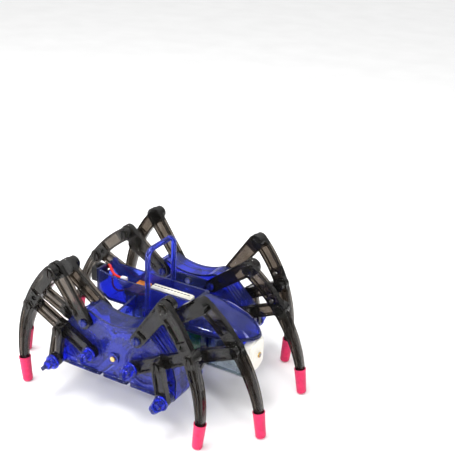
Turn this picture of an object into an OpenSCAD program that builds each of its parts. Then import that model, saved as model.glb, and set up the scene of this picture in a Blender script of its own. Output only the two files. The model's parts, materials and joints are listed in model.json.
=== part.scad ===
// Eight-legged walking robot kit: two gearboxes carry four crank-driven legs each, one on either
// face of every crank. +X is the front, +Y the left side, Z up, and the feet stand on z = 0.

/* [Walking linkage] */
// Height of the crank and drive shaft centres above the floor
shaft_z = 31; // [30.5:0.1:31.5]
// Distance of a crank pin from its crank's centre
crank_r = 5.5; // [5.2:0.1:5.6]
// Distance of a lower rocker's pivot ahead of the drive shaft
low_pivot_x = 36; // [35.5:0.1:36.5]
// Drop of a lower rocker's pivot below the drive shaft
low_pivot_drop = 10.4; // [10:0.1:10.8]
// Distance of an upper rocker's pivot ahead of the drive shaft
top_pivot_x = 17.3; // [17:0.1:17.6]
// Rise of an upper rocker's pivot above the drive shaft
top_pivot_rise = 18; // [17.5:0.1:18.5]
// Rod length from the crank pin to the lower rocker
rod_inner = 21; // [20.6:0.1:21.4]
// Rod length from the lower rocker to the leg
rod_outer = 21.9; // [21.5:0.1:22.5]
// Lower rocker length between its pivots
low_rocker = 20.5; // [20.2:0.1:21]
// Upper rocker length between its pivots
top_rocker = 32; // [31.5:0.1:32.5]
// Leg length between its two pivots
leg_top = 29; // [28.5:0.1:29.5]
// Radius of a boot near its closed end
boot_r = 2.8; // [2.6:0.1:2.9]
// Radius of a boot's open rim
rim_r = 3.35; // [3.3:0.05:3.4]
// Length of a boot
boot_len = 15.5; // [14:0.5:16]

/* [Links] */
// Thickness of every leg, rod and rocker
link_t = 3.6; // [3.2:0.1:3.8]
// Depth of the recessed panels in each link face
panel_depth = 1.2; // [0.8:0.1:1.3]
// Width of the rails along a link's edges
rail_w = 1.1; // [0.9:0.1:1.3]
// Radius of the pins that join the links
pin_r = 1.5; // [1.3:0.1:1.6]
// Running clearance of a pin in its hole
pin_fit = 0.06; // [0.03:0.01:0.09]

/* [Gearboxes] */
// Distance of a gearbox's inner face from the centre line
box_inner_y = 31; // [30:0.5:32]
// Thickness of a gearbox from face to face
box_t = 13.2; // [12.8:0.1:14]
// Height of the gearboxes' flat bottom edge
box_bottom = 16.8; // [16.5:0.1:17]
// Height of the dip in the middle of a gearbox's top edge
box_dip = 51.4; // [50.5:0.1:52]
// Wall thickness of the gearbox covers
cover_wall = 1.5; // [1.2:0.1:1.8]
// Radius of the openings that the crank hubs turn in
hub_open_r = 9.5; // [9:0.1:9.8]

/* [Gears] */
// Tooth module of the crank gears and their pinions
crank_module = 0.8; // [0.8]
// Teeth on each pinion of the drive shaft
pinion_teeth = 20; // [20]
// Teeth on each crank gear
crank_teeth = 28; // [28]
// Tooth module of the reduction gears
train_module = 0.5; // [0.5]
// Teeth on each small gear of the reduction train
small_teeth = 12; // [12]
// Teeth on each large gear of the reduction train
large_teeth = 36; // [36]
// Teeth on the motor's pinion
motor_teeth = 10; // [10]

/* [Body] */
// Outer width of the open tray
tray_w = 17; // [16.5:0.1:17.5]
// Length of the tray behind the drive shaft
tray_back = 38.8; // [37:0.1:40]
// Length of the tray ahead of the drive shaft
tray_front = 27; // [26:0.1:28]
// Height of the tray's rim
tray_top = 57; // [56:0.1:58]
// Wall thickness of the tray
tray_wall = 1.4; // [1.2:0.1:1.6]
// Width of the carry handle between its post centres
handle_w = 26; // [25:0.1:27]
// Height of the top of the carry handle
handle_top = 84; // [80:0.5:86]
// Thickness of the carry handle's rod
handle_d = 3; // [2.6:0.1:3.2]
// Width of the clear drive case
case_w = 19; // [18.6:0.1:19.4]
// Length of the motor from its front face to its end cap's rear face
motor_len = 25; // [24.5:0.1:25.5]
// Height of the motor's axle above the drive shaft
motor_rise = 1.5; // [1:0.1:1.8]
// Height of the motor can across its round sides
motor_h = 20.1; // [19.8:0.1:20.3]
// Width of the motor can across its flats
motor_w = 15.1; // [14.8:0.1:15.3]

/* [Hidden] */
$fn = 48;

BLUE = [0.10, 0.16, 0.80, 0.55];
SMOKE = [0.30, 0.28, 0.26, 0.70];
PINK = [0.95, 0.15, 0.42];
STEEL = "silver";
IVORY = [0.93, 0.92, 0.84];
CLEAR = [0.75, 0.80, 0.82, 0.45];

// Which side, end and face a part belongs to
RIGHT = -1;
LEFT = 1;
FRONT = 1;
REAR = -1;
SIDES = [RIGHT, LEFT];
ENDS = [REAR, FRONT];
OUTER = true;
INNER = false;

box_outer_y = box_inner_y + box_t;
box_mid_y = box_inner_y + box_t / 2;
crank_x = crank_module * (pinion_teeth + crank_teeth) / 2;
eps = 0.01;

// The links lie in two layers on each gearbox face, measured outward from that face
layer_gap = 0.4;
layer_1 = layer_gap;
layer_2 = layer_1 + link_t + layer_gap;
layers_end = layer_2 + link_t;

// ---------- Linkage geometry, in the X-Z plane of the front end ----------

LOW_PIVOT = [low_pivot_x, shaft_z - low_pivot_drop];
TOP_PIVOT = [top_pivot_x, shaft_z + top_pivot_rise];
CRANK = [crank_x, shaft_z];

function unit(v) = v / norm(v);
function angle_to(p, q) = atan2(q[1] - p[1], q[0] - p[0]);
function polar(r, a) = r * [cos(a), sin(a)];
// Point at distance r from p and s from q, on the left of the line from p to q
function meet(p, r, q, s) =
    let (d = norm(q - p), u = (q - p) / d, a = (r * r - s * s + d * d) / (2 * d))
    p + a * u + sqrt(r * r - a * a) * [-u[1], u[0]];

// At rest the outer crank pins point at the drive shaft and the inner ones away from it
function crank_angle(outer) = outer ? 180 : 0;
function crank_pin(outer) = CRANK + polar(crank_r, crank_angle(outer));
function rod_joint(outer) = meet(crank_pin(outer), rod_inner, LOW_PIVOT, low_rocker);
function knee(outer) =
    let (m = crank_pin(outer), e = rod_joint(outer))
    e + rod_outer * unit(e - m);
function hip(outer) = meet(TOP_PIVOT, top_rocker, knee(outer), leg_top);

// A boot's closed end is a disc of radius sole_r, rounded by sole_round; the foot point is the
// disc's centre, so it stands this high when the boot leans by a given angle
sole_round = 1.3;
sole_r = boot_r - sole_round;
function stand_height(lean) = sole_round + sole_r * sin(abs(lean));

// The centre of the arc through the hip, the knee and the foot, in the leg's own frame (origin at
// the hip, x towards the knee), and the angle of the boot's axis, a chord of that arc
function arc_centre(foot) =
    let (h = leg_top / 2)
    [h, (h * h - pow(foot[0] - h, 2) - foot[1] * foot[1]) / (-2 * foot[1])];
function boot_angle(foot) =
    let (c = arc_centre(foot))
    angle_to(c, foot) + 90 + 90 * boot_len / (PI * norm(c));
function lean(outer, foot) = boot_angle(foot) + angle_to(hip(outer), knee(outer)) - 90;

// The foot is where both the outer and the inner legs stand on the floor at rest: two linear
// equations for x and y, solved twice because the height depends a little on the boot's lean
function floor_row(outer, height) =
    let (u = unit(knee(outer) - hip(outer)))
    [u[1], u[0], height - hip(outer)[1]];
function foot_at(a, b) =
    let (det = a[0] * b[1] - a[1] * b[0])
    [(a[2] * b[1] - a[1] * b[2]) / det, (a[0] * b[2] - a[2] * b[0]) / det];
FIRST_FOOT = foot_at(floor_row(OUTER, boot_r), floor_row(INNER, boot_r));
FOOT = foot_at(floor_row(OUTER, stand_height(lean(OUTER, FIRST_FOOT))),
               floor_row(INNER, stand_height(lean(INNER, FIRST_FOOT))));

// The leg's centre line is one arc through the hip, the knee and the foot
LEG_CENTRE = arc_centre(FOOT);
LEG_R = norm(LEG_CENTRE);
LEG_HIP_A = angle_to(LEG_CENTRE, [0, 0]);
LEG_KNEE_A = angle_to(LEG_CENTRE, [leg_top, 0]);
LEG_FOOT_A = angle_to(LEG_CENTRE, FOOT);
leg_deg = 180 / (PI * LEG_R);
hip_half_w = 4;
ankle_half_w = 2;
rim_depth = 1.3;
tenon_half_w = 1.6;
tenon_t = 2.4;
tenon_fit = 0.02;
LEG_ANKLE_A = LEG_FOOT_A + (boot_len - sole_round - rim_depth + 0.15) * leg_deg;

// ---------- Placing ----------

// Mirrors a part made for the front left to its own side and end
module corner(side, end) {
    if (end == REAR) mirror([1, 0, 0]) corner(side, FRONT) children();
    else if (side == RIGHT) mirror([0, 1, 0]) children();
    else children();
}

// The frame of one gearbox face: y = 0 on the face, y growing away from the gearbox
module at_face(side, end, outer) {
    corner(side, end)
        translate([0, outer ? box_outer_y : box_inner_y, 0])
            if (outer) children();
            else mirror([0, 1, 0]) children();
}

// Turns a drawing in x and z upright, so that its thickness t runs from y0 to y0 + t
module upright(y0, t) {
    translate([0, y0 + t, 0]) rotate([90, 0, 0]) children();
}

module along(p, q) {
    translate([p[0], p[1], 0]) rotate([0, 0, angle_to(p, q)]) children();
}

module at(p) {
    translate([p[0], p[1], 0]) children();
}

// A round bar or bore along Y, from y0 to y1
module y_cylinder(p, r, y0, y1) {
    upright(y0, y1 - y0) at(p) cylinder(r = r, h = y1 - y0);
}

// ---------- Links ----------

// The straight sides lie a hair inside the end circles, so that they cross them and don't graze
module tapered_bar(len, r1, r2) {
    hair = 0.03;
    a = acos((r1 - r2) / len);
    circle(r = r1);
    translate([len, 0]) circle(r = r2);
    side1 = polar(r1 - hair, a);
    side2 = polar(r2 - hair, a);
    polygon([side1, [len + side2[0], side2[1]], [len + side2[0], -side2[1]], [side1[0], -side1[1]]]);
}

// Recessed panels in both faces of a bar, between its end bosses
module panels(len, r1, r2) {
    x0 = r1 + 0.8;
    x1 = len - r2 - 0.8;
    w0 = r1 + (r2 - r1) * x0 / len - rail_w;
    w1 = r1 + (r2 - r1) * x1 / len - rail_w;
    for (z = [-eps, link_t - panel_depth + eps])
        translate([0, 0, z]) linear_extrude(panel_depth)
            polygon([[x0, -w0], [x1, -w1], [x1, w1], [x0, w0]]);
}

module through_hole(r) {
    translate([0, 0, -1]) cylinder(r = r, h = link_t + 2);
}

// A split snap pin along Y: stem from y0 to y1, then a slotted head
module snap_pin(p, y0, y1) {
    head_r = pin_r + 0.8;
    head_t = 1.1;
    upright(y0, y1 + head_t - y0) at(p)
        difference() {
            union() {
                cylinder(r = pin_r, h = y1 + head_t - y0);
                cylinder(r = head_r, h = head_t);
            }
            translate([-0.4, -head_r - 1, -1]) cube([0.8, 2 * head_r + 2, head_t + 2.4]);
        }
}

low_boss_r = 3.6;
rod_boss_r = 3.7;
top_boss_r = 3.9;

module lower_rocker(outer) {
    upright(layer_2, link_t) along(LOW_PIVOT, rod_joint(outer))
        difference() {
            linear_extrude(link_t) tapered_bar(low_rocker, low_boss_r, low_boss_r - 0.3);
            panels(low_rocker, low_boss_r, low_boss_r - 0.3);
            through_hole(pin_r + pin_fit);
            translate([low_rocker, 0, 0]) through_hole(pin_r + pin_fit);
        }
}

// The rod's crank end is open in the tree of joints, so its hole leaves room for the slack
crank_pin_slack = 0.6;
knee_slack = 0.2;

module rod(outer) {
    full = rod_inner + rod_outer;
    head_y = layers_end + 0.25;
    upright(layer_1, link_t) along(crank_pin(outer), knee(outer))
        difference() {
            linear_extrude(link_t) {
                tapered_bar(full, rod_boss_r, rod_boss_r - 0.3);
                translate([rod_inner, 0]) circle(r = rod_boss_r + 0.3);
            }
            panels(rod_inner, rod_boss_r, rod_boss_r);
            translate([rod_inner, 0, 0]) panels(rod_outer, rod_boss_r - 0.1, rod_boss_r - 0.3);
            through_hole(pin_r + crank_pin_slack);
        }
    for (p = [rod_joint(outer), knee(outer)]) snap_pin(p, layer_2 - 1.5, head_y);
}

module upper_rocker(outer) {
    upright(layer_1, link_t) along(TOP_PIVOT, hip(outer))
        difference() {
            linear_extrude(link_t) tapered_bar(top_rocker, top_boss_r, top_boss_r + 0.7);
            panels(top_rocker, top_boss_r, top_boss_r + 0.7);
            through_hole(pin_r + pin_fit);
        }
    snap_pin(hip(outer), layer_2 - 1.5, layers_end + 0.25);
}

// Half width of the leg at an angle along its arc
function leg_half_w(a) =
    let (t = (LEG_HIP_A - a) / (LEG_HIP_A - LEG_ANKLE_A))
    hip_half_w + (ankle_half_w - hip_half_w) * t * t;

// The stretch of the leg's arc between two angles, grown sideways to a given half width
module leg_band(a0, a1, inset = 0) {
    steps = ceil(abs(a1 - a0) / 2.4);
    angles = [for (i = [0:steps]) a0 + (a1 - a0) * i / steps];
    polygon(concat(
        [for (a = angles) LEG_CENTRE + polar(LEG_R + leg_half_w(a) - inset, a)],
        [for (i = [steps:-1:0]) LEG_CENTRE + polar(LEG_R - leg_half_w(angles[i]) + inset, angles[i])]
    ));
}

// A thin rib along the leg's centre line
module leg_rib(a0, a1, half_w) {
    steps = ceil(abs(a1 - a0) / 2.4);
    angles = [for (i = [0:steps]) a0 + (a1 - a0) * i / steps];
    polygon(concat(
        [for (a = angles) LEG_CENTRE + polar(LEG_R + half_w, a)],
        [for (i = [steps:-1:0]) LEG_CENTRE + polar(LEG_R - half_w, angles[i])]
    ));
}

spare_hole_x = leg_top - 7;

module leg_blank() {
    circle(r = hip_half_w);
    leg_band(LEG_HIP_A, LEG_ANKLE_A);
    translate([leg_top, 0]) circle(r = hip_half_w + 0.1);
}

module leg_panels() {
    spare_a = angle_to(LEG_CENTRE, [spare_hole_x, 0]);
    boss = (hip_half_w + 0.9) * leg_deg;
    leg_band(LEG_HIP_A - boss, spare_a + 3 * leg_deg, rail_w);
    difference() {
        leg_band(LEG_KNEE_A - boss, LEG_ANKLE_A + 2 * leg_deg, rail_w);
        leg_rib(LEG_KNEE_A - boss, LEG_ANKLE_A + 2 * leg_deg, 0.35);
    }
}

// The tongue inside a boot, grown all round by a fit
module tenon(fit) {
    translate([0, 0, (link_t - tenon_t) / 2 - fit]) linear_extrude(tenon_t + 2 * fit)
        leg_rib(LEG_ANKLE_A + leg_deg, LEG_FOOT_A - fit * leg_deg, tenon_half_w + fit);
}

// A leg's solid without its boot: a channelled arc with a tenon for the boot
module leg_body(outer) {
    upright(layer_2, link_t) along(hip(outer), knee(outer))
        difference() {
            union() {
                linear_extrude(link_t) leg_blank();
                tenon(0);
            }
            for (z = [-eps, link_t - panel_depth + eps])
                translate([0, 0, z]) linear_extrude(panel_depth) leg_panels();
            through_hole(pin_r + pin_fit);
            translate([leg_top, 0, 0]) through_hole(pin_r + knee_slack);
            translate([spare_hole_x, 0, 0]) through_hole(pin_r);
        }
}

// The boot is a round sleeve with a closed end and an open rim; the leg's tenon fills its socket
module boot_body(outer) {
    rim_x = boot_len - sole_round;
    shoulder_x = rim_x - rim_depth;
    upright(layer_2, link_t) along(hip(outer), knee(outer))
        difference() {
            translate([FOOT[0], FOOT[1], link_t / 2]) rotate([0, 0, boot_angle(FOOT)])
                rotate([0, 90, 0]) rotate_extrude()
                    polygon(concat(
                        [[0, -sole_round]],
                        [for (i = [0:6]) [sole_r, 0] + polar(sole_round, -90 + 15 * i)],
                        [[rim_r - 0.1, rim_x - 1.2], [rim_r, rim_x - 0.8], [rim_r, rim_x],
                         [rim_r - 0.35, rim_x], [rim_r - 0.4, shoulder_x], [0, shoulder_x]]
                    ));
            tenon(tenon_fit);
        }
}

// ---------- Pivot posts and caps, in a gearbox face's frame ----------

post_grip = 4;
cap_len = 8.5;
flange_r = 4.2;
low_cap_y = layers_end + 0.3;
crank_cap_y = layer_2;

module outward(p, y0) {
    translate([p[0], y0, p[1]]) rotate([-90, 0, 0]) children();
}

module pivot_posts() {
    outward(LOW_PIVOT, -eps) cylinder(r = low_boss_r - 0.3, h = layer_2 - 0.2 + eps);
    outward(LOW_PIVOT, 0) cylinder(r = pin_r, h = low_cap_y + post_grip);
    outward(TOP_PIVOT, -eps) cylinder(r = 3, h = layer_1 - 0.1 + eps);
    snap_pin(TOP_PIVOT, -eps, layer_1 + link_t + 0.25);
}

// A push-on cap: a flange, a short cone, and a finger tab across it at a given turn
module cap(p, y0, turn) {
    tab_t = 2.2;
    outward(p, y0) rotate([0, 0, turn])
        difference() {
            union() {
                rotate_extrude()
                    polygon([[0, 0], [flange_r, 0], [flange_r, 0.9], [flange_r - 0.3, 1.2], [3.3, 1.2],
                             [2.5, 4.8], [1.7, 5.8], [0, 5.8]]);
                rotate([90, 0, 0]) translate([0, 0, -tab_t / 2]) linear_extrude(tab_t)
                    polygon([[-3.7, 0.8], [3.7, 0.8], [2.5, cap_len - 1.6], [1.7, cap_len - 0.4],
                             [1.1, cap_len], [-1.1, cap_len], [-1.7, cap_len - 0.4], [-2.5, cap_len - 1.6]]);
            }
            translate([0, 0, -1]) cylinder(r = pin_r + 0.02, h = post_grip + 1.3);
        }
}

// ---------- Gearboxes ----------

ear_r = LOW_PIVOT[1] - box_bottom;
lobe_r = 6.2;
SHOULDER = [low_pivot_x + 2, shaft_z + 6];
LOBE_END = TOP_PIVOT + polar(lobe_r, 105);
dip_rise = LOBE_END[1] - box_dip;
dip_r = (pow(LOBE_END[0], 2) + dip_rise * dip_rise) / (2 * dip_rise);

function half_outline() = concat(
    [[0, box_bottom]],
    [for (a = [-90:15:0]) LOW_PIVOT + polar(ear_r, a)],
    [[low_pivot_x + ear_r, shaft_z - 1], SHOULDER],
    [for (a = [45:15:105]) TOP_PIVOT + polar(lobe_r, a)],
    [for (i = [1:4]) let (x = LOBE_END[0] * (1 - i / 5)) [x, box_dip + dip_r - sqrt(dip_r * dip_r - x * x)]],
    [[0, box_dip]]
);

function whole_outline() =
    let (h = half_outline(), n = len(h))
    concat(h, [for (i = [n - 2:-1:1]) [-h[i][0], h[i][1]]]);

function normal(p, q) = unit([q[1] - p[1], p[0] - q[0]]);

// A counter-clockwise outline moved inward by g, with mitred corners
function inset(pts, g) =
    let (n = len(pts))
    [for (i = [0:n - 1])
        let (a = normal(pts[(i + n - 1) % n], pts[i]), b = normal(pts[i], pts[(i + 1) % n]))
        pts[i] - g * (a + b) / (1 + a * b)];

OUTLINE = whole_outline();
CAVITY = inset(OUTLINE, cover_wall);
SCREWS = [[0, shaft_z + 16], [0, box_bottom + 3.4], [low_pivot_x - 0.5, shaft_z - 4],
          [0.5 - low_pivot_x, shaft_z - 4]];
screw_post_r = 1.6;
shaft_r = 1.5;
screw_r = 0.95;
notch_x = 9;

module both_ends() {
    children();
    mirror([1, 0, 0]) children();
}

module cover_openings(y0, y1) {
    both_ends() y_cylinder(CRANK, hub_open_r, y0, y1);
    y_cylinder([0, shaft_z], shaft_r + pin_fit, y0, y1);
    both_ends() y_cylinder([notch_x, box_bottom + 1.2], 1.5, y0, y1);
    both_ends() upright(y0, y1 - y0) linear_extrude(y1 - y0)
        translate([notch_x - 1, box_bottom - 1]) square([2, 2.4]);
}

// Ridges along the sloping shoulders
module shoulder_ridges(ys) {
    lobe = TOP_PIVOT + polar(lobe_r, 45);
    out = normal(SHOULDER, lobe);
    for (y = ys)
        both_ends() upright(y, 1) linear_extrude(1)
            polygon([SHOULDER - 0.8 * out, SHOULDER + 0.7 * out, lobe + 0.7 * out, lobe - 0.8 * out]);
}

// Lip bars along the bottom edge, broken at the two notches
module bottom_lips(y0) {
    bars = [[notch_x + 2.2, low_pivot_x - 5], [2.2 - notch_x, notch_x - 2.2],
            [5 - low_pivot_x, -notch_x - 2.2]];
    for (bar = bars, z = [box_bottom + 0.4, box_bottom + 2.4])
        translate([bar[0], y0, z]) cube([bar[1] - bar[0], 0.6 + eps, 0.7]);
}

module cover_outer() {
    plate_y = box_outer_y - cover_wall;
    difference() {
        union() {
            upright(plate_y, cover_wall) linear_extrude(cover_wall) polygon(OUTLINE);
            upright(box_mid_y, plate_y - box_mid_y + eps) linear_extrude(plate_y - box_mid_y + eps)
                difference() {
                    polygon(OUTLINE);
                    polygon(CAVITY);
                }
            y_cylinder([0, shaft_z], 3.4, plate_y, box_outer_y + 1);
            for (p = SCREWS) y_cylinder(p, screw_post_r, box_inner_y + cover_wall, plate_y + eps);
            bottom_lips(box_outer_y - eps);
            shoulder_ridges([box_mid_y + 0.9, box_mid_y + 3.3]);
        }
        cover_openings(box_mid_y - 1, box_outer_y + 2);
        for (p = SCREWS) y_cylinder(p, screw_r + 0.05, box_inner_y, box_inner_y + 9);
        both_ends() difference() {
            y_cylinder(CRANK, hub_open_r + 1.6, box_outer_y - 0.5, box_outer_y + 1);
            y_cylinder(CRANK, hub_open_r + 0.9, box_outer_y - 0.6, box_outer_y + 2);
        }
    }
    both_ends() translate([0, box_outer_y, 0]) pivot_posts();
}

module cover_inner() {
    difference() {
        union() {
            upright(box_inner_y, cover_wall) linear_extrude(cover_wall) polygon(OUTLINE);
            upright(box_inner_y, box_mid_y - box_inner_y) linear_extrude(box_mid_y - box_inner_y)
                difference() {
                    polygon(OUTLINE);
                    polygon(CAVITY);
                }
            shoulder_ridges([box_inner_y + 1.9, box_inner_y + 4.3]);
        }
        cover_openings(box_inner_y - 1, box_mid_y + 1);
        for (p = SCREWS) y_cylinder(p, screw_r + 0.15, box_inner_y - 1, box_inner_y + 3);
    }
    both_ends() translate([0, box_inner_y, 0]) mirror([0, 1, 0]) pivot_posts();
}

module gearbox_cover(side, outer) {
    color(BLUE) corner(side, FRONT)
        if (outer) cover_outer();
        else cover_inner();
}

// ---------- Gears ----------

// A spur gear's outline, with a tooth on the x axis
module gear_2d(teeth, m) {
    pitch = 360 / teeth;
    r = m * teeth / 2;
    tip = r + 0.9 * m;
    root = r - 1.15 * m;
    polygon([for (i = [0:teeth - 1], k = [[root, -0.31], [tip, -0.11], [tip, 0.11], [root, 0.31]])
        polar(k[0], pitch * (i + k[1]))]);
}

module spur(p, teeth, m, y0, y1, turn = 0) {
    upright(y0, y1 - y0) at(p) rotate([0, 0, turn]) linear_extrude(y1 - y0) gear_2d(teeth, m);
}

hub_r = hub_open_r - 0.08;

module crank_gear(side, end) {
    face_t = 2.6;
    color(BLUE) corner(side, end) {
        difference() {
            union() {
                y_cylinder(CRANK, hub_r, box_inner_y, box_inner_y + face_t);
                y_cylinder(CRANK, hub_r, box_outer_y - face_t, box_outer_y);
                y_cylinder(CRANK, 5, box_inner_y, box_outer_y);
                spur(CRANK, crank_teeth, crank_module, box_mid_y - 2, box_mid_y + 2, 180 / crank_teeth);
            }
            for (r = [[8.1, 8.7], [6.7, 7.3], [2.2, 2.9]], y = [box_inner_y, box_outer_y])
                difference() {
                    y_cylinder(CRANK, r[1], y - 0.7, y + 0.7);
                    y_cylinder(CRANK, r[0], y - 1, y + 1);
                }
        }
        for (outer = [OUTER, INNER]) crank_pin_post(outer);
    }
}

module crank_pin_post(outer) {
    translate([0, outer ? box_outer_y : box_inner_y, 0]) mirror([0, outer ? 0 : 1, 0])
        outward(crank_pin(outer), -1) {
            cylinder(r = 2.5, h = 1 + layer_1 - 0.1);
            cylinder(r = pin_r, h = 1 + crank_cap_y + post_grip);
        }
}

// The reduction train climbs in a straight line from the drive shaft to the height of the motor's axle
motor_z = shaft_z + motor_rise;
gear_step = train_module * (large_teeth + small_teeth) / 2;
train_tilt = asin(motor_rise / (2 * gear_step));
IDLER = [0, shaft_z] + polar(gear_step, train_tilt);
CROWN = [0, shaft_z] + polar(2 * gear_step, train_tilt);
crown_r = train_module * large_teeth / 2;
motor_pinion_x = CROWN[0] + crown_r;
axle_r = 1;
output_y = [-5, -2];
idler_y = [-1.2, 1.2];
crown_y = [3.1, 4.6];

module shaft_gears() {
    color(IVORY) difference() {
        union() {
            spur([0, shaft_z], large_teeth, train_module, output_y[0], output_y[1], train_tilt);
            for (side = SIDES) corner(side, FRONT)
                spur([0, shaft_z], pinion_teeth, crank_module, box_mid_y - 2.4, box_mid_y + 2.4);
        }
        y_cylinder([0, shaft_z], shaft_r + eps, -box_outer_y, box_outer_y);
    }
}

module drive_shaft() {
    color(STEEL) y_cylinder([0, shaft_z], shaft_r, -box_outer_y - 1.7, box_outer_y + 1.7);
}

module idler_gear() {
    turn = train_tilt + 180 / small_teeth;
    color(IVORY) difference() {
        union() {
            spur(IDLER, large_teeth, train_module, idler_y[0], idler_y[1], train_tilt);
            spur(IDLER, small_teeth, train_module, output_y[0] - 0.5, idler_y[0] + eps, turn);
        }
        y_cylinder(IDLER, axle_r + pin_fit, -9, 9);
    }
}

module crown_gear() {
    pitch = 360 / large_teeth;
    turn = train_tilt + 180 / small_teeth;
    color(IVORY) difference() {
        union() {
            spur(CROWN, small_teeth, train_module, idler_y[0] - 0.3, crown_y[0] + eps, turn);
            y_cylinder(CROWN, crown_r + 1, crown_y[0], crown_y[1]);
            upright(crown_y[0] - 1, 1 + eps) at(CROWN)
                for (i = [0:large_teeth - 1]) rotate([0, 0, pitch * (i + 0.5)])
                    linear_extrude(1 + eps)
                        polygon([[crown_r - 1, -0.24], [crown_r + 1, -0.3],
                                 [crown_r + 1, 0.3], [crown_r - 1, 0.24]]);
        }
        y_cylinder(CROWN, axle_r + pin_fit, -9, 9);
    }
}

module x_section(x0, x1) {
    translate([x0, 0, 0]) rotate([90, 0, 90]) linear_extrude(x1 - x0) children();
}

module x_round(r, x0, x1) {
    x_section(x0, x1) translate([0, motor_z]) circle(r = r);
}

motor_x = 39;
can_len = motor_len - 5;
cap_x = motor_x + can_len;
motor_end_x = motor_x + motor_len;

// The motor's shaft with its pinion; its far end shows in the end cap's bushing
module motor_pinion() {
    color(STEEL) x_round(axle_r, motor_pinion_x - 2, motor_end_x + 1.6);
    color(IVORY) x_section(motor_pinion_x - 1.5, motor_pinion_x + 1.5)
        translate([0, motor_z]) gear_2d(motor_teeth, train_module);
}

module motor_section(inset = 0) {
    translate([0, motor_z])
        intersection() {
            circle(r = motor_h / 2 - inset);
            square([motor_w - 2 * inset, motor_h], center = true);
        }
}

module motor_can() {
    color(STEEL) difference() {
        union() {
            x_section(motor_x, cap_x) motor_section();
            x_round(3, motor_x - 1.2, motor_x + 1);
        }
        x_round(axle_r + pin_fit, motor_x - 3, cap_x + 1);
    }
}

module motor_end_cap() {
    color(IVORY) difference() {
        union() {
            x_section(cap_x, motor_end_x - 1) motor_section(0.1);
            x_section(motor_end_x - 1 - eps, motor_end_x) motor_section(1);
            x_round(1.5, motor_end_x - eps, motor_end_x + 1);
        }
        x_round(axle_r + pin_fit, cap_x - 1, motor_end_x + 3);
    }
}

// ---------- Central body ----------

case_bottom = shaft_z - motor_h / 2 - 1.25;
case_top = shaft_z + motor_h / 2 + 0.35;
case_wall = 1.3;
case_back = -13;
case_front = cap_x - 0.2;
deck_top = case_top + tray_wall;
deck_w = 24;
nose_z = 44.5;
CASE_SCREWS = [[-10.4, 5.4, deck_top], [-10.4, -5.4, deck_top], [34.8, 6.8, nose_z], [34.8, -6.8, nose_z]];

module case_section(inset, top) {
    h = case_w / 2 - inset;
    chamfer = 2.4;
    b = case_bottom + inset * 0.85;
    polygon([[-h, top], [-h, b + chamfer], [-h + chamfer, b], [h - chamfer, b], [h, b + chamfer], [h, top]]);
}

module drive_case() {
    color(CLEAR) {
        difference() {
            union() {
                x_section(case_back, case_front) case_section(0, case_top);
                x_section(tray_front + 0.1, case_front) case_section(0, nose_z - tray_wall);
                for (side = SIDES) corner(side, FRONT)
                    y_cylinder([0, shaft_z], 4, case_w / 2 - 1, box_inner_y - 0.05);
            }
            difference() {
                x_section(case_back + case_wall, case_front + 1) case_section(case_wall, nose_z);
                for (p = CASE_SCREWS) translate([p[0], p[1], p[2] - 7]) cylinder(r = 1.7, h = 7);
                x_section(36.2, 37.6) square([case_w, 90], center = true);
                for (x = [42, 56], side = SIDES) corner(side, FRONT)
                    translate([x, motor_w / 2 + 0.05, case_bottom]) cube([1, 2, motor_h + 2]);
            }
            y_cylinder([0, shaft_z], shaft_r + pin_fit, -box_inner_y - 1, box_inner_y + 1);
            for (p = CASE_SCREWS) translate([p[0], p[1], p[2] - 6]) cylinder(r = 0.8, h = 6);
            x_round(axle_r + 1, 36, 38);
        }
        for (p = [IDLER, CROWN]) y_cylinder(p, axle_r, -case_w / 2 + 0.5, case_w / 2 - 0.5);
    }
}

// The nose is the top of a long round body, whose axis lies a little below its floor
nose_r = 16.5;
nose_mid_x = 28;
nose_half_len = 37;
nose_axis_z = nose_z - 3.1;

module dome(x0, inset) {
    steps = 24;
    tip = nose_mid_x + nose_half_len - inset;
    xs = [for (i = [0:steps]) x0 + (tip - x0) * sin(90 * i / steps)];
    function dome_r(x) =
        (nose_r - inset) * sqrt(max(0, 1 - pow((x - nose_mid_x) / (nose_half_len - inset), 2)));
    translate([0, 0, nose_axis_z]) rotate([0, 90, 0]) rotate_extrude()
        polygon(concat([[0, x0]], [for (x = xs) [dome_r(x), x]]));
}

module slab(z0, z1) {
    translate([0, -50, z0]) cube([100, 100, z1 - z0]);
}

module nose_cover() {
    color(BLUE) difference() {
        dome(tray_front, 0);
        dome(tray_front + tray_wall, tray_wall);
        slab(nose_z - 100, nose_z);
    }
}

module nose_floor() {
    intersection() {
        dome(tray_front - 1, 0);
        slab(nose_z - tray_wall, nose_z);
    }
}

module tray_side(far) {
    linear_extrude(tray_wall)
        polygon(concat(
            [[-tray_back, 46], [8 - tray_back, case_top], [tray_front, case_top], [tray_front, tray_top]],
            far ? [[3.7 - tray_back, tray_top], [2.6 - tray_back, tray_top + 3.2],
                   [-tray_back, tray_top + 3.2]]
                : [[11 - tray_back, tray_top], [-tray_back, tray_top + 2.4]]
        ));
}

module deck_arm() {
    y0 = tray_w / 2 - 0.2;
    y1 = box_inner_y;
    difference() {
        union() {
            translate([-deck_w / 2, y0, case_top]) cube([deck_w, y1 - y0, tray_wall]);
            translate([-deck_w / 2, y1 - tray_wall, case_top]) cube([deck_w, tray_wall, 8.6]);
            for (x = [-deck_w / 2, deck_w / 2 - tray_wall])
                x_section(x, x + tray_wall)
                    polygon([[y0, case_top], [y1 - 0.5, case_top],
                             [y1 - 0.5, case_top + 5.2], [y0, case_top + 9]]);
            translate([0, handle_w / 2, case_top]) cylinder(r = 2.9, h = tray_wall + 3.6);
        }
        translate([0, handle_w / 2, deck_top]) cylinder(r = handle_d / 2 + 0.02, h = 9);
        y_cylinder(SCREWS[0], screw_r + 0.15, y1 - 3, y1 + 1);
    }
}

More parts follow.
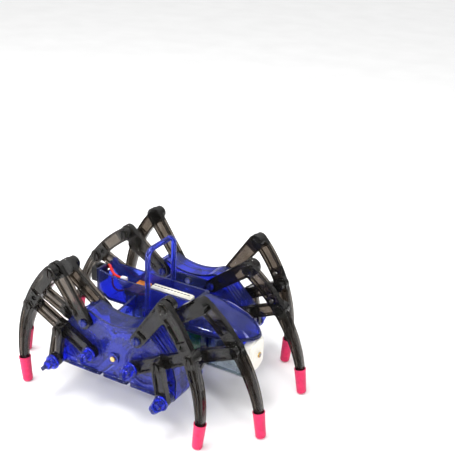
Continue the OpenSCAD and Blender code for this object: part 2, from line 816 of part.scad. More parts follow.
module top_tray() {
    half = tray_w / 2;
    rib_h = 5.7;
    // The crown gear's rim turns in a slot through the tray's floor
    slot_half_len = 5.2;
    slot_y = [crown_y[0] - 1.3, crown_y[1] + 0.3];
    color(BLUE) difference() {
        union() {
            translate([8 - tray_back, -half, case_top]) cube([tray_front + tray_back - 8, tray_w, tray_wall]);
            nose_floor();
            upright(-half, tray_wall) tray_side(false);
            upright(half - tray_wall, tray_wall) tray_side(true);
            upright(-half, tray_w) linear_extrude(tray_w)
                polygon([[-tray_back, 46], [8 - tray_back, case_top],
                         [8 - tray_back, deck_top], [1.6 - tray_back, 46.4]]);
            translate([-tray_back, -half, 46]) cube([tray_wall, tray_w, tray_top - 46 + 2.4]);
            translate([tray_front - tray_wall, -half, case_top])
                cube([tray_wall, tray_w, tray_top - case_top]);
            for (x = [-18.5, -13.3]) translate([x, -half + 1, deck_top - eps]) cube([1.2, tray_w - 2, rib_h]);
            for (side = SIDES) corner(side, FRONT) deck_arm();
        }
        translate([-tray_back - 1, -1, tray_top - 3]) cube([tray_wall + 2, 5.5, 9]);
        for (p = CASE_SCREWS) translate([p[0], p[1], p[2] - 3]) cylinder(r = 0.9, h = 4);
        translate([CROWN[0] - slot_half_len, slot_y[0], case_top - 1])
            cube([2 * slot_half_len, slot_y[1] - slot_y[0], tray_wall + 1 + eps]);
    }
}

module carry_handle() {
    bend = 5;
    r = handle_d / 2;
    z0 = deck_top;
    z1 = handle_top - r;
    color(BLUE) {
        for (side = SIDES) corner(side, FRONT) {
            translate([0, handle_w / 2, z0]) cylinder(r = r, h = z1 - bend - z0);
            translate([0, handle_w / 2, z0 + 3.65]) cylinder(r = 2.3, h = 1);
            translate([0, handle_w / 2 - bend, z1 - bend]) rotate([90, 0, 90])
                rotate_extrude(angle = 90) translate([bend, 0]) circle(r = r);
        }
        rotate([90, 0, 0]) translate([0, z1, bend - handle_w / 2]) cylinder(r = r, h = handle_w - 2 * bend);
    }
}

// ---------- Electrics and fasteners ----------

module circuit_board() {
    y0 = -case_w / 2 + case_wall + 0.05;
    color("green") difference() {
        union() {
            translate([-8, y0, 34]) cube([40, 1.2, case_top - 34.4]);
            translate([15, y0, 25]) cube([17, 1.2, 9.1]);
        }
        y_cylinder(CROWN, axle_r + 0.5, y0 - 1, y0 + 2);
    }
    color("black") for (x = [17, 26.5]) translate([x, y0 + 1.2 - eps, 27]) cube([4.5, 1, 4.5]);
}

module rounded_plate(w, h, r) {
    translate([r, 0]) square([w - 2 * r, h]);
    translate([0, r]) square([w, h - 2 * r]);
    for (x = [r, w - r], z = [r, h - r]) translate([x, z]) circle(r = r);
}

CELL_AT = [-2, -tray_w / 2 + tray_wall + 0.1];
BOARD_AT = [-19.3, -6.9, deck_top + 5.7];

module battery_cell() {
    cell_t = 4;
    color(IVORY) upright(CELL_AT[1], cell_t) at([CELL_AT[0], deck_top + 0.02])
        linear_extrude(cell_t) rounded_plate(26.5, 15.2, 0.8);
}

module cell_board() {
    color("sienna") translate(BOARD_AT) cube([8.2, 13.8, 2.2]);
}

// A round wire swept along a list of points
module wire(points, r) {
    sides = 8;
    n = len(points);
    dirs = [for (i = [0:n - 1]) unit(points[min(i + 1, n - 1)] - points[max(i - 1, 0)])];
    rings = [for (i = [0:n - 1])
        let (a = unit(cross(dirs[i], [0.1, 0.3, 1])), b = cross(dirs[i], a))
        for (k = [0:sides - 1]) points[i] + r * (cos(360 * k / sides) * a + sin(360 * k / sides) * b)];
    polyhedron(points = rings, faces = concat(
        [[for (k = [0:sides - 1]) k]],
        [[for (k = [sides - 1:-1:0]) (n - 1) * sides + k]],
        [for (i = [0:n - 2], k = [0:sides - 1])
            let (a = i * sides, b = a + sides, next = (k + 1) % sides)
            [a + k, b + k, b + next, a + next]]
    ));
}

// A smooth path through a few hand-set points
function curve(p, steps = 4) = concat(
    [for (i = [0:len(p) - 2], j = [0:steps - 1])
        let (t = j / steps, a = p[max(i - 1, 0)], b = p[i], c = p[i + 1], d = p[min(i + 2, len(p) - 1)])
        b + 0.5 * t * (c - a + t * (2 * a - 5 * b + 4 * c - d + t * (3 * b - a - 3 * c + d)))],
    [p[len(p) - 1]]
);

PLUG = [-24.5, -4, 55.6];
PLUG_LEAD = [[-40.6, 2.15, 56], [-40.6, 3.5, 56], [-38, 3.2, 57], [-34, -1, 56.8], [-29, -3.6, 56],
             [PLUG[0] - 1, -4, 55.6], [PLUG[0] - 0.1, -4, 55.6]];
BOARD_LEAD = [[-41.6, 2.15, 54], [-41.6, 3.4, 54], [-38, 3.8, 55.5], [-35, 2, 53.6], [-32, -1.6, 48],
              [-27, -3, 46.4], [-22, -3, 48.6], [BOARD_AT[0] - 0.9, -3, 49.6], [BOARD_AT[0] - 0.1, -3, 49.6]];
CELL_LEAD = [[BOARD_AT[0] + 8.3, -5, 49.6], [BOARD_AT[0] + 9.1, -5, 49.6], [-8, -5, 50.4], [-5, -5, 51.6],
             [CELL_AT[0] - 1, -5, 52], [CELL_AT[0] - 0.1, -5, 52]];

module battery_wires() {
    color("red") {
        wire(curve(PLUG_LEAD), 0.75);
        wire(curve(BOARD_LEAD), 0.6);
        wire(curve(CELL_LEAD), 0.6);
    }
}

module wire_plug() {
    color(IVORY) translate([PLUG[0], PLUG[1] - 1.1, PLUG[2] - 1]) cube([3.6, 2.2, 2]);
}

SWITCH_SIZE = [5.8, 8, 8.5];
SWITCH_AT = [-tray_back - SWITCH_SIZE[0], -6, 49.5];
slider_travel = 2.6;

module switch_housing() {
    slot = [2, 5.2, 2.4];
    color("black") translate(SWITCH_AT) difference() {
        cube(SWITCH_SIZE);
        translate([1.9, 1.4, SWITCH_SIZE[2] - slot[2]]) cube(slot + [0, 0, 1]);
    }
}

module switch_slider() {
    color("dimgray") translate(SWITCH_AT + [2, 1.5, SWITCH_SIZE[2] - 2.2])
        cube([1.8, 5 - slider_travel, 3.8]);
}

module pan_screw(len) {
    translate([0, 0, -0.3]) cylinder(r = screw_r, h = len + 0.3);
    translate([0, 0, -1.2]) difference() {
        cylinder(r = 1.9, h = 1.2);
        translate([-0.25, -1.3, -eps]) cube([0.5, 2.6, 0.6]);
        translate([-1.3, -0.25, -eps]) cube([2.6, 0.5, 0.6]);
    }
}

module case_screws() {
    color(STEEL) {
        for (side = SIDES) corner(side, FRONT)
            for (i = [0:len(SCREWS) - 1])
                outward(SCREWS[i], box_inner_y - (i == 0 ? tray_wall : 0)) pan_screw(8);
        for (p = CASE_SCREWS) translate(p) rotate([180, 0, 0]) scale(0.8) pan_screw(6);
    }
}

// ---------- The nodes ----------

module pair(end, outer) {
    color(SMOKE) for (side = SIDES) at_face(side, end, outer) children();
}

module crank_caps(end) {
    color(BLUE) for (side = SIDES, outer = [OUTER, INNER])
        at_face(side, end, outer) cap(crank_pin(outer), crank_cap_y, 90);
}

module pivot_caps() {
    color(BLUE) for (side = SIDES, end = ENDS, outer = [OUTER, INNER])
        at_face(side, end, outer) cap(LOW_PIVOT, low_cap_y, 45);
}

module leg(side, end, outer) {
    color(SMOKE) at_face(side, end, outer) leg_body(outer);
}

module boot(side, end, outer) {
    color(PINK) at_face(side, end, outer) boot_body(outer);
}

gearbox_cover(RIGHT, OUTER);  // gearbox_cover_right_outer
gearbox_cover(RIGHT, INNER);  // gearbox_cover_right_inner
gearbox_cover(LEFT, INNER);  // gearbox_cover_left_inner
gearbox_cover(LEFT, OUTER);  // gearbox_cover_left_outer
top_tray();
nose_cover();
carry_handle();
drive_case();
motor_can();
motor_end_cap();
motor_pinion();
crown_gear();
idler_gear();
drive_shaft();
shaft_gears();
crank_gear(RIGHT, FRONT);  // crank_gear_right_front
crank_gear(LEFT, FRONT);  // crank_gear_left_front
crank_gear(RIGHT, REAR);  // crank_gear_right_rear
crank_gear(LEFT, REAR);  // crank_gear_left_rear
crank_caps(FRONT);  // crank_caps_front
crank_caps(REAR);  // crank_caps_rear
pivot_caps();
pair(FRONT, OUTER) lower_rocker(OUTER);  // lower_rockers_front_outer
pair(FRONT, INNER) lower_rocker(INNER);  // lower_rockers_front_inner
pair(REAR, OUTER) lower_rocker(OUTER);  // lower_rockers_rear_outer
pair(REAR, INNER) lower_rocker(INNER);  // lower_rockers_rear_inner
pair(FRONT, OUTER) rod(OUTER);  // rods_front_outer
pair(FRONT, INNER) rod(INNER);  // rods_front_inner
pair(REAR, OUTER) rod(OUTER);  // rods_rear_outer
pair(REAR, INNER) rod(INNER);  // rods_rear_inner
pair(FRONT, OUTER) upper_rocker(OUTER);  // upper_rockers_front_outer
pair(FRONT, INNER) upper_rocker(INNER);  // upper_rockers_front_inner
pair(REAR, OUTER) upper_rocker(OUTER);  // upper_rockers_rear_outer
pair(REAR, INNER) upper_rocker(INNER);  // upper_rockers_rear_inner
leg(RIGHT, FRONT, OUTER);  // leg_right_front_outer
leg(RIGHT, FRONT, INNER);  // leg_right_front_inner
leg(LEFT, FRONT, INNER);  // leg_left_front_inner
leg(LEFT, FRONT, OUTER);  // leg_left_front_outer
leg(RIGHT, REAR, OUTER);  // leg_right_rear_outer
leg(RIGHT, REAR, INNER);  // leg_right_rear_inner
leg(LEFT, REAR, INNER);  // leg_left_rear_inner
leg(LEFT, REAR, OUTER);  // leg_left_rear_outer
boot(RIGHT, FRONT, OUTER);  // boot_right_front_outer
boot(RIGHT, FRONT, INNER);  // boot_right_front_inner
boot(LEFT, FRONT, INNER);  // boot_left_front_inner
boot(LEFT, FRONT, OUTER);  // boot_left_front_outer
boot(RIGHT, REAR, OUTER);  // boot_right_rear_outer
boot(RIGHT, REAR, INNER);  // boot_right_rear_inner
boot(LEFT, REAR, INNER);  // boot_left_rear_inner
boot(LEFT, REAR, OUTER);  // boot_left_rear_outer
circuit_board();
battery_cell();
cell_board();
battery_wires();
wire_plug();
switch_housing();
switch_slider();
case_screws();
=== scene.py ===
"""Looks of the eight-legged walking robot: materials, small details, light and camera.

Metres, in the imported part's own frame: +X is the front, +Y the robot's left, Z up, floor at z = 0.
"""

import json
import math

import bmesh
import bpy
from mathutils import Matrix, Vector


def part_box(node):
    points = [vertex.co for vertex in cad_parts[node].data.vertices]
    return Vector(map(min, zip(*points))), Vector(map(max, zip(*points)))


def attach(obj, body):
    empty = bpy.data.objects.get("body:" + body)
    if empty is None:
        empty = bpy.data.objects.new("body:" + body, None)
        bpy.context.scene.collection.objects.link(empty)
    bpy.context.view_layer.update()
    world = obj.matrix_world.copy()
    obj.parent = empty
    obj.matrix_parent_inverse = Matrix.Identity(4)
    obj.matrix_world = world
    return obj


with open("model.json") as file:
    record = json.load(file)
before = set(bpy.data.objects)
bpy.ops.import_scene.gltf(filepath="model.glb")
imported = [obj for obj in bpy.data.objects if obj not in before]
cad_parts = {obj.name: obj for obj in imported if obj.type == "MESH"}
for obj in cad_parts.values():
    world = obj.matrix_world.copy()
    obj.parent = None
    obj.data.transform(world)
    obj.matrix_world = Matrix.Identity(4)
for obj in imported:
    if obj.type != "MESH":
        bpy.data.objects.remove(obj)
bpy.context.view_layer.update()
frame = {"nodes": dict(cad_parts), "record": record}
MM = 0.001

# ---------- Camera ----------

AZIMUTH = math.radians(29.15)
ELEVATION = math.radians(23.42)
ROLL = math.radians(2.35)
DISTANCE = 0.45733
TARGET = Vector((0.04181, 0, 0.10203))
FOCAL_MM = 68.96


def make_camera():
    """A camera at DISTANCE from TARGET: AZIMUTH turns it from -Y towards +X, ROLL tips it about its axis."""
    back = Vector((
        math.sin(AZIMUTH) * math.cos(ELEVATION),
        -math.cos(AZIMUTH) * math.cos(ELEVATION),
        math.sin(ELEVATION),
    ))
    level = Vector((math.cos(AZIMUTH), math.sin(AZIMUTH), 0))
    rise = back.cross(level)
    right = math.cos(ROLL) * level + math.sin(ROLL) * rise
    up = math.cos(ROLL) * rise - math.sin(ROLL) * level
    data = bpy.data.cameras.new("camera")
    data.sensor_fit = "HORIZONTAL"
    data.sensor_width = 36
    data.lens = FOCAL_MM
    data.clip_start = 0.01
    camera = bpy.data.objects.new("camera", data)
    bpy.context.scene.collection.objects.link(camera)
    turn = Matrix((right, up, back)).transposed().to_4x4()
    camera.matrix_world = Matrix.Translation(TARGET + DISTANCE * back) @ turn
    bpy.context.scene.camera = camera


# ---------- Node helpers ----------


class Nodes:
    """Short forms for building one material's node tree."""

    def __init__(self, name):
        self.material = bpy.data.materials.new(name)
        self.material.use_nodes = True
        self.tree = self.material.node_tree
        self.tree.nodes.clear()
        self.out = self.add("ShaderNodeOutputMaterial")

    def add(self, kind, **settings):
        node = self.tree.nodes.new(kind)
        for key, value in settings.items():
            setattr(node, key, value)
        return node

    def link(self, source, target):
        self.tree.links.new(source, target)

    def place(self, scale=(1, 1, 1)):
        """Object coordinates in millimetres, stretched by scale."""
        coords = self.add("ShaderNodeTexCoord")
        mapping = self.add("ShaderNodeMapping")
        mapping.inputs["Scale"].default_value = [s / MM for s in scale]
        self.link(coords.outputs["Object"], mapping.inputs["Vector"])
        return mapping.outputs["Vector"]

    def noise(self, scale, detail=3, stretch=(1, 1, 1), rough=0.5):
        """Noise whose blobs are about 1 / scale millimetres wide."""
        node = self.add("ShaderNodeTexNoise")
        node.inputs["Scale"].default_value = scale
        node.inputs["Detail"].default_value = detail
        node.inputs["Roughness"].default_value = rough
        self.link(self.place(stretch), node.inputs["Vector"])
        return node.outputs["Fac"]

    def ramp(self, source, stops):
        """A colour ramp from (position, colour) stops; a plain number is a grey."""
        node = self.add("ShaderNodeValToRGB")
        ramp = node.color_ramp
        while len(ramp.elements) < len(stops):
            ramp.elements.new(1)
        for element, (position, colour) in zip(ramp.elements, stops):
            element.position = position
            if isinstance(colour, (int, float)):
                colour = (colour,) * 3
            element.color = (*colour, 1)
        self.link(source, node.inputs["Fac"])
        return node.outputs["Color"]

    def bump(self, heights, edge_radius=None):
        """Stacks (height source, depth in millimetres) pairs into one normal, over rounded edges."""
        normal = None
        if edge_radius:
            bevel = self.add("ShaderNodeBevel", samples=6)
            bevel.inputs["Radius"].default_value = edge_radius * MM
            normal = bevel.outputs["Normal"]
        for source, depth in heights:
            node = self.add("ShaderNodeBump")
            node.inputs["Strength"].default_value = 1
            node.inputs["Distance"].default_value = depth * MM
            self.link(source, node.inputs["Height"])
            if normal:
                self.link(normal, node.inputs["Normal"])
            normal = node.outputs["Normal"]
        return normal

    def shader(self, colour, roughness, normal, **fixed):
        """The surface shader: linked colour, roughness and normal, and fixed values on its own sockets."""
        node = self.add("ShaderNodeBsdfPrincipled")
        self.link(colour, node.inputs["Base Color"])
        self.link(roughness, node.inputs["Roughness"])
        self.link(normal, node.inputs["Normal"])
        for key, value in fixed.items():
            node.inputs[key.replace("_", " ")].default_value = value
        self.link(node.outputs["BSDF"], self.out.inputs["Surface"])

    def absorb(self, passed, thickness):
        """Tints what shines through: the colour that is left after a thickness in millimetres."""
        dim = [-math.log(c) / (thickness * MM) for c in passed]
        density = max(dim)
        node = self.add("ShaderNodeVolumeAbsorption")
        node.inputs["Color"].default_value = (*[1 - d / density for d in dim], 1)
        node.inputs["Density"].default_value = density
        self.link(node.outputs["Volume"], self.out.inputs["Volume"])


# ---------- Materials ----------


def see_through(name, tint, passed, thickness, clear=1.0, edge=0.12):
    """Clear moulded plastic with flow marks, a faint orange peel, handling haze and hairline scratches.

    tint is the (darkest, lightest) surface colour, passed the colour left after a thickness in
    millimetres, clear the share of light that goes through and isn't scattered, and edge the radius
    of its softened edges in millimetres.
    """
    n = Nodes(name)
    haze = n.noise(0.12, 4)
    peel = n.noise(0.55, 2)
    flow = n.noise(0.22, 3, stretch=(0.5, 0.5, 2.2))
    scratches = n.noise(1.6, 2, stretch=(0.12, 1, 3), rough=0.7)
    colour = n.ramp(haze, [(0.3, tint[0]), (0.7, tint[1])])
    rough = n.ramp(haze, [(0.35, 0.02), (0.75, 0.07)])
    normal = n.bump([(flow, 0.05), (peel, 0.03), (scratches, 0.008)], edge_radius=edge)
    n.shader(colour, rough, normal, Transmission_Weight=clear, IOR=1.5, Specular_IOR_Level=0.25)
    n.absorb(passed, thickness)
    return n.material


def rubber(name, dark, light, shine=(0.42, 0.58)):
    """Soft dipped rubber: fine grain, slight mould mottling and a worn, dusty sheen."""
    n = Nodes(name)
    mottle = n.noise(0.4, 4)
    grain = n.noise(9, 2)
    rings = n.noise(1.4, 2, stretch=(0.15, 0.15, 1))
    colour = n.ramp(mottle, [(0.3, dark), (0.7, light)])
    rough = n.ramp(mottle, [(0.3, shine[0]), (0.7, shine[1])])
    normal = n.bump([(rings, 0.05), (grain, 0.02)], edge_radius=0.25)
    n.shader(colour, rough, normal, Sheen_Weight=0.15, Subsurface_Weight=0.15, Subsurface_Scale=0.001)
    return n.material


def moulded(name, dark, light, roughness=(0.3, 0.5)):
    """Opaque moulded plastic with spark-eroded grain and faint sink marks."""
    n = Nodes(name)
    sink = n.noise(0.25, 3)
    grain = n.noise(7, 3)
    colour = n.ramp(sink, [(0.3, dark), (0.7, light)])
    rough = n.ramp(grain, [(0.3, roughness[0]), (0.7, roughness[1])])
    normal = n.bump([(sink, 0.12), (grain, 0.015)], edge_radius=0.2)
    n.shader(colour, rough, normal)
    return n.material


def metal(name, dark, light, stretch):
    """Turned or drawn metal: fine lines along one way and some tarnish."""
    n = Nodes(name)
    tarnish = n.noise(0.5, 4)
    lines = n.noise(4, 3, stretch=stretch)
    colour = n.ramp(tarnish, [(0.35, dark), (0.65, light)])
    rough = n.ramp(lines, [(0.3, 0.2), (0.7, 0.38)])
    normal = n.bump([(lines, 0.012)], edge_radius=0.15)
    n.shader(colour, rough, normal, Metallic=1.0)
    return n.material


def circuit(name):
    """Green solder mask over copper tracks, with the glass weave showing faintly."""
    n = Nodes(name)
    tracks = n.add("ShaderNodeTexBrick")
    tracks.inputs["Scale"].default_value = 1
    tracks.inputs["Color1"].default_value = (0.015, 0.26, 0.045, 1)
    tracks.inputs["Color2"].default_value = (0.030, 0.38, 0.075, 1)
    tracks.inputs["Mortar"].default_value = (0.09, 0.55, 0.15, 1)
    tracks.inputs["Brick Width"].default_value = 3.1
    tracks.inputs["Row Height"].default_value = 1.3
    tracks.inputs["Mortar Size"].default_value = 0.12
    turn = n.add("ShaderNodeMapping")
    turn.inputs["Rotation"].default_value = (math.radians(90), 0, 0)
    n.link(n.place(), turn.inputs["Vector"])
    n.link(turn.outputs["Vector"], tracks.inputs["Vector"])
    weave = n.noise(3, 2)
    rough = n.ramp(weave, [(0.3, 0.22), (0.7, 0.34)])
    normal = n.bump([(tracks.outputs["Fac"], 0.05), (weave, 0.01)], edge_radius=0.1)
    n.shader(tracks.outputs["Color"], rough, normal)
    return n.material


MATERIALS = {
    "blue_plastic": see_through(
        "blue_plastic", tint=((0.17, 0.23, 0.80), (0.33, 0.40, 0.92)),
        passed=(0.42, 0.50, 0.94), thickness=1.5, clear=0.92, edge=0.2),
    "smoke_plastic": see_through(
        "smoke_plastic", tint=((0.50, 0.47, 0.44), (0.76, 0.73, 0.69)),
        passed=(0.27, 0.235, 0.20), thickness=1.2, clear=0.98, edge=0.2),
    "clear_plastic": see_through(
        "clear_plastic", tint=((0.88, 0.90, 0.91), (0.96, 0.97, 0.97)),
        passed=(0.76, 0.81, 0.83), thickness=1.3),
    "pink_rubber": rubber("pink_rubber", (0.62, 0.012, 0.10), (0.78, 0.030, 0.15)),
    "gear_plastic": moulded("gear_plastic", (0.72, 0.71, 0.66), (0.82, 0.81, 0.77)),
    "ivory_plastic": moulded("ivory_plastic", (0.90, 0.88, 0.80), (0.97, 0.96, 0.91)),
    "steel": metal("steel", (0.42, 0.42, 0.43), (0.62, 0.62, 0.64), (1, 1, 6)),
    "motor_steel": metal("motor_steel", (0.40, 0.41, 0.42), (0.60, 0.61, 0.62), (0.1, 3, 3)),
    "brass": metal("brass", (0.62, 0.42, 0.16), (0.86, 0.66, 0.32), (3, 0.3, 3)),
    "circuit_green": circuit("circuit_green"),
    "battery_sleeve": moulded("battery_sleeve", (0.72, 0.70, 0.60), (0.85, 0.84, 0.76)),
    "amber_film": moulded("amber_film", (0.32, 0.11, 0.015), (0.70, 0.28, 0.05), roughness=(0.1, 0.25)),
    "red_wire": rubber("red_wire", (0.62, 0.012, 0.008), (0.80, 0.03, 0.02), shine=(0.12, 0.25)),
    "white_plastic": moulded("white_plastic", (0.78, 0.78, 0.76), (0.90, 0.90, 0.88)),
    "black_plastic": moulded("black_plastic", (0.012, 0.012, 0.013), (0.03, 0.03, 0.032)),
}


def dress_nodes():
    """Gives each CAD node the finish of its material slot."""
    for part in frame["record"]["subparts"]:
        node = frame["nodes"][part["node"]]
        node.data.materials.clear()
        node.data.materials.append(MATERIALS[part["material_slot"]])


# ---------- Small details ----------


def block(mesh, low, high, rounding):
    """Adds a box between two corners in millimetres, with rounded edges."""
    size = Vector(high) - Vector(low)
    centre = (Vector(high) + Vector(low)) / 2
    place = Matrix.Translation(centre * MM) @ Matrix.Diagonal((*(size * MM), 1))
    corners = bmesh.ops.create_cube(mesh, size=1, matrix=place)["verts"]
    edges = {edge for corner in corners for edge in corner.link_edges}
    bmesh.ops.bevel(mesh, geom=list(edges), offset=rounding * MM, segments=3, affect="EDGES")


def bridge(mesh, ring, following):
    """Adds the faces between two rings that have the same number of vertices."""
    for j in range(len(ring)):
        k = (j + 1) % len(ring)
        mesh.faces.new((ring[j], following[j], following[k], ring[k]))


def tube(mesh, rings):
    """Joins rings of vertices in a row into a tube, closed at both ends."""
    for ring, following in zip(rings, rings[1:]):
        bridge(mesh, ring, following)
    mesh.faces.new(rings[0])
    mesh.faces.new(reversed(rings[-1]))


def turned(mesh, profile, centre, axis, steps=40):
    """Adds a ring turned about an axis from a closed (distance along it, radius) profile in millimetres."""
    centre = Vector(centre)
    side = axis.orthogonal().normalized()
    rings = []
    for i in range(steps):
        out = Matrix.Rotation(2 * math.pi * i / steps, 3, axis) @ side
        rings.append([mesh.verts.new((centre + d * axis + r * out) * MM) for d, r in profile])
    for ring, following in zip(rings, rings[1:] + rings[:1]):
        bridge(mesh, ring, following)


def bead(mesh, y, path, radius, sides=10):
    """Adds a round bead along a path of (x, z) points at one y, closed at both ends."""
    rings = []
    for i, here in enumerate(path):
        before = Vector(path[max(i - 1, 0)])
        after = Vector(path[min(i + 1, len(path) - 1)])
        way = (after - before).normalized()
        ring = []
        for j in range(sides):
            angle = 2 * math.pi * j / sides
            x = here[0] - way.y * radius * math.cos(angle)
            z = here[1] + way.x * radius * math.cos(angle)
            ring.append(mesh.verts.new(Vector((x, y + radius * math.sin(angle), z)) * MM))
        rings.append(ring)
    tube(mesh, rings)


def crinkled_film(mesh, low, high, fold):
    """Adds a loose film wrapped round a box along Y, creased and closed at both ends."""
    rows, sides = 26, 40
    squareness = 0.3
    centre = (Vector(low) + Vector(high)) / 2
    half = (Vector(high) - Vector(low)) / 2
    rings = []
    for i in range(rows + 1):
        y = 2 * i / rows - 1
        ring = []
        for j in range(sides):
            angle = 2 * math.pi * j / sides
            x = math.copysign(abs(math.cos(angle)) ** squareness, math.cos(angle))
            z = math.copysign(abs(math.sin(angle)) ** squareness, math.sin(angle))
            crease = math.sin(7 * y + 5 * math.sin(angle)) * math.sin(17 * y + 3 * angle)
            out = Vector((x * half.x, y * half.y, z * half.z * (1 + fold * crease)))
            ring.append(mesh.verts.new((centre + out) * MM))
        rings.append(ring)
    tube(mesh, rings)


def piece(name, mesh, slot, body="root"):
    """Turns a finished bmesh into a smooth piece in a record slot's finish, riding on a body."""
    bmesh.ops.recalc_face_normals(mesh, faces=mesh.faces)
    for face in mesh.faces:
        face.smooth = True
    data = bpy.data.meshes.new(name)
    mesh.to_mesh(data)
    mesh.free()
    data.materials.append(MATERIALS[slot])
    thing = bpy.data.objects.new(name, data)
    bpy.context.scene.collection.objects.link(thing)
    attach(thing, body)


def node_box(name):
    """The two corners of a CAD node in millimetres."""
    low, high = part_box(name)
    return Vector(low) / MM, Vector(high) / MM


def battery_rim():
    """The cell's folded top edge: two cream beads with a broken dark seam between them."""
    low, high = node_box("battery_cell")
    seam_y0, seam_y1 = low.y + 1.5, low.y + 2.4
    slit = 0.05
    bead_round, bead_inset = 0.25, 0.5
    bead_z0, bead_z1 = high.z - 0.1, high.z + 0.55
    beads = bmesh.new()
    for y0, y1 in ((low.y + bead_round, seam_y0 - slit), (seam_y1 + slit, high.y - bead_round)):
        block(beads, (low.x + bead_inset, y0, bead_z0), (high.x - bead_inset, y1, bead_z1), bead_round)
    piece("battery_rim", beads, "battery_sleeve")
    dash, gap, margin, dash_round = 1.5, 0.7, 1, 0.1
    dash_z0, dash_z1 = high.z - 0.05, high.z + 0.3
    count = int((high.x - low.x - 2 * margin) / (dash + gap))
    seam = bmesh.new()
    for i in range(count):
        x = low.x + margin + i * (dash + gap)
        block(seam, (x, seam_y0, dash_z0), (x + dash, seam_y1, dash_z1), dash_round)
    piece("battery_seam", seam, "black_plastic")


def cell_wrap():
    """The creased amber film round the cell's small board, with a stiff hem at each end."""
    board_low, board_high = node_box("cell_board")
    low = board_low - Vector((0.25, 0.1, 0.3))
    high = board_high + Vector((0.25, 0.1, 0.35))
    film = bmesh.new()
    crinkled_film(film, low, high, fold=0.12)
    piece("cell_film", film, "amber_film")
    hem_wide, hem_round = 0.8, 0.25
    overhang, proud = 0.2, 0.1
    hems = bmesh.new()
    for y in (low.y - overhang, high.y + overhang - hem_wide):
        corner = (low.x - proud, y, low.z - proud)
        block(hems, corner, (high.x + proud, y + hem_wide, high.z + proud), hem_round)
    piece("cell_hems", hems, "amber_film")


def motor_bushing():
    """The bronze bushing round the motor's axle, with a lip."""
    face_x = node_box("motor_end_cap")[1].x
    axle_low, axle_high = node_box("motor_pinion")
    axle = (axle_low + axle_high) / 2
    ring = bmesh.new()
    profile = [(-0.3, 1.1), (0.3, 1.1), (0.4, 1.2), (0.4, 1.4), (0.2, 1.6), (-0.3, 1.6)]
    turned(ring, profile, (face_x, axle.y, axle.z), Vector((1, 0, 0)))
    piece("motor_bushing", ring, "brass")


def switch_lugs():
    """Three tinned lugs under the slide switch, each with a bead of solder."""
    first = node_box("switch_housing")[0] + Vector((2.6, 1.4, 0))
    pitch = Vector((0, 2.4, 0))
    lug_low, lug_high, lug_round = Vector((0, 0, -2.4)), Vector((0.3, 1, 0.2)), 0.08
    solder_low, solder_high, solder_round = Vector((-0.3, 0.1, -2.1)), Vector((0.6, 0.9, -1.1)), 0.3
    lugs = bmesh.new()
    for i in range(3):
        spot = first + i * pitch
        block(lugs, spot + lug_low, spot + lug_high, lug_round)
        block(lugs, spot + solder_low, spot + solder_high, solder_round)
    piece("switch_lugs", lugs, "steel")


# Sizes of the linkage and the covers in millimetres, as in the part: the outer covers' faces, the
# outermost faces of the outer and inner links, the cranks, and the rod from its elbow to the knee
COVER_FACE_Y = 44.2
LINK_FACES_Y = {"outer": 52.2, "inner": 23.0}
CRANK_X = 19.2
CRANK_R = 5.5
SHAFT_Z = 31
ROD_OUTER = 21.9

# A boss's raised rim, as a closed (distance from the link's face, radius) profile in millimetres, and
# the round studs that stand on it
RIM = [(-0.1, 2.65), (0.3, 2.75), (0.42, 2.95), (0.42, 3.2), (0.25, 3.4), (-0.1, 3.45)]
STUD_RING_R = 3.05
STUD_R = 0.42
STUD_RISE = 0.3
STUDS = 6


def pivot_at(joint_name):
    """A hinge's (x, z) in millimetres."""
    joint = next(j for j in frame["record"]["behaviour"]["joints"] if j["name"] == joint_name)
    return Vector((joint["pos_m"][0], joint["pos_m"][2])) / MM


def boss_rim(mesh, spot, face_y, out):
    """Adds a raised rim with a ring of round studs at an (x, z) spot on a link's face; out is +1 or -1."""
    turned(mesh, RIM, (spot.x, face_y, spot.y), Vector((0, out, 0)))
    for i in range(STUDS):
        angle = 2 * math.pi * (i + 0.5) / STUDS
        across = STUD_RING_R * Vector((math.cos(angle), 0, math.sin(angle)))
        centre = Vector((spot.x, face_y + STUD_RISE * out, spot.y)) + across
        place = Matrix.Translation(centre * MM)
        bmesh.ops.create_icosphere(mesh, subdivisions=2, radius=STUD_R * MM, matrix=place)


def pivot_rims():
    """The raised rims of the links' bosses, round every snap pin on the links' outermost faces."""
    for end, toward in (("front", 1), ("rear", -1)):
        for layer, pin_toward in (("outer", -1), ("inner", 1)):
            elbow = pivot_at(f"rods_{end}_{layer}_swing")
            pin = Vector((toward * (CRANK_X + pin_toward * CRANK_R), SHAFT_Z))
            knee = elbow + ROD_OUTER * (elbow - pin).normalized()
            rocker = f"lower_rockers_{end}_{layer}"
            elbow_rims = bmesh.new()
            for side, name in ((-1, "right"), (1, "left")):
                leg = f"leg_{name}_{end}_{layer}"
                face_y = side * LINK_FACES_Y[layer]
                out = side if layer == "outer" else -side
                boss_rim(elbow_rims, elbow, face_y, out)
                leg_rims = bmesh.new()
                for spot in (pivot_at(leg + "_swing"), knee):
                    boss_rim(leg_rims, spot, face_y, out)
                piece(leg + "_rims", leg_rims, "smoke_plastic", leg)
            piece(rocker + "_rims", elbow_rims, "smoke_plastic", rocker)


def arc(centre, radius, start, stop, steps=16):
    """Points of an arc from one angle to another, in degrees."""
    turns = [math.radians(start + (stop - start) * i / steps) for i in range(steps + 1)]
    return [(centre[0] + radius * math.cos(a), centre[1] + radius * math.sin(a)) for a in turns]


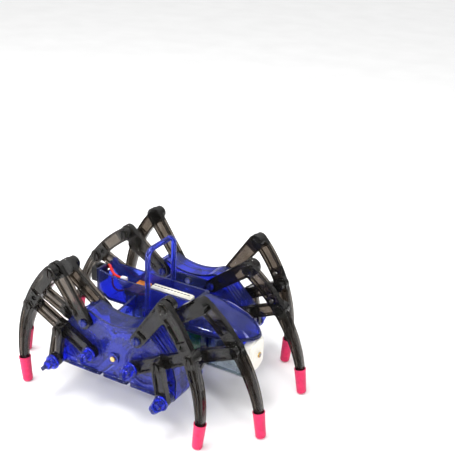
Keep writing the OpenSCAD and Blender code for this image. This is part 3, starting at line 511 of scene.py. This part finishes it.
def cover_beads():
    """Moulded beads on the gearboxes' outer covers: below the dip, round the crank hubs and on the lips."""
    dip_centre = (0, 74)
    dip_radii = (24.2, 26.4)
    hub_bead_r = 12
    wide = 0.5
    sunk = 0.25
    lip_spans = ((-30.6, -11.6), (-6.4, 6.4), (11.6, 30.6))
    lip_heights = (17.55, 19.55)
    lip_rise = 0.5
    lip_wide = 0.45
    beads = bmesh.new()
    for side in (-1, 1):
        face_y = side * (COVER_FACE_Y - sunk)
        lip_y = side * (COVER_FACE_Y + lip_rise)
        for radius in dip_radii:
            bead(beads, face_y, arc(dip_centre, radius, -118, -62), wide)
        for end in (-1, 1):
            bead(beads, face_y, arc((end * CRANK_X, SHAFT_Z), hub_bead_r, 0, 360, 48), wide)
        for x0, x1 in lip_spans:
            for z in lip_heights:
                bead(beads, lip_y, [(x0, z), (x1, z)], lip_wide)
    piece("cover_beads", beads, "blue_plastic")


# ---------- Studio ----------


def make_floor():
    """A plain floor of pale paper, wide enough to reach the horizon."""
    mesh = bmesh.new()
    reach = 300
    bmesh.ops.create_grid(mesh, x_segments=2, y_segments=2, size=reach)
    data = bpy.data.meshes.new("floor")
    mesh.to_mesh(data)
    mesh.free()
    floor = bpy.data.objects.new("floor", data)
    bpy.context.scene.collection.objects.link(floor)
    n = Nodes("floor")
    paper = n.noise(0.02, 3)
    colour = n.ramp(paper, [(0.3, 0.90), (0.7, 0.93)])
    rough = n.ramp(paper, [(0.3, 0.7), (0.7, 0.8)])
    n.shader(colour, rough, n.bump([(paper, 0.02)]))
    data.materials.append(n.material)


def soft_light(name, place, aim, size, watts):
    """A rectangular light at a place, facing an aim point."""
    data = bpy.data.lights.new(name, "AREA")
    data.shape = "RECTANGLE"
    data.size, data.size_y = size
    data.energy = watts
    light = bpy.data.objects.new(name, data)
    bpy.context.scene.collection.objects.link(light)
    light.location = place
    light.rotation_mode = "QUATERNION"
    light.rotation_quaternion = (Vector(aim) - Vector(place)).to_track_quat("-Z", "Y")


def make_studio():
    """A white room that fades towards the horizon, one broad light overhead and four strip lights."""
    scene = bpy.context.scene
    scene.view_settings.view_transform = "Standard"
    scene.view_settings.gamma = 0.87
    world = bpy.data.worlds.new("studio")
    world.use_nodes = True
    nodes = world.node_tree.nodes
    links = world.node_tree.links
    way = nodes.new("ShaderNodeTexCoord")
    height = nodes.new("ShaderNodeSeparateXYZ")
    fade = nodes.new("ShaderNodeMapRange")
    fade.inputs["From Min"].default_value = 0
    fade.inputs["From Max"].default_value = 0.9
    fade.inputs["To Min"].default_value = 0.12
    fade.inputs["To Max"].default_value = 1.25
    nodes["Background"].inputs["Color"].default_value = (1, 1, 1, 1)
    links.new(way.outputs["Generated"], height.inputs["Vector"])
    links.new(height.outputs["Z"], fade.inputs["Value"])
    links.new(fade.outputs["Result"], nodes["Background"].inputs["Strength"])
    scene.world = world
    body = (0, 0, 0.03)
    nose = (0.03, 0, 0.03)
    soft_light("overhead", (-0.15, -0.1, 0.75), body, (0.4, 0.25), 3.0)
    soft_light("left", (-0.45, -0.5, 0.4), body, (0.6, 0.03), 1.5)
    soft_light("front", (0.6, -0.35, 0.35), nose, (0.04, 0.4), 0.9)
    soft_light("near", (0.15, -0.6, 0.6), body, (0.5, 0.03), 1.4)
    soft_light("low", (-0.25, -0.65, 0.14), body, (0.5, 0.03), 1.6)
    make_floor()


make_camera()
dress_nodes()
battery_rim()
cell_wrap()
motor_bushing()
switch_lugs()
pivot_rims()
cover_beads()
make_studio()
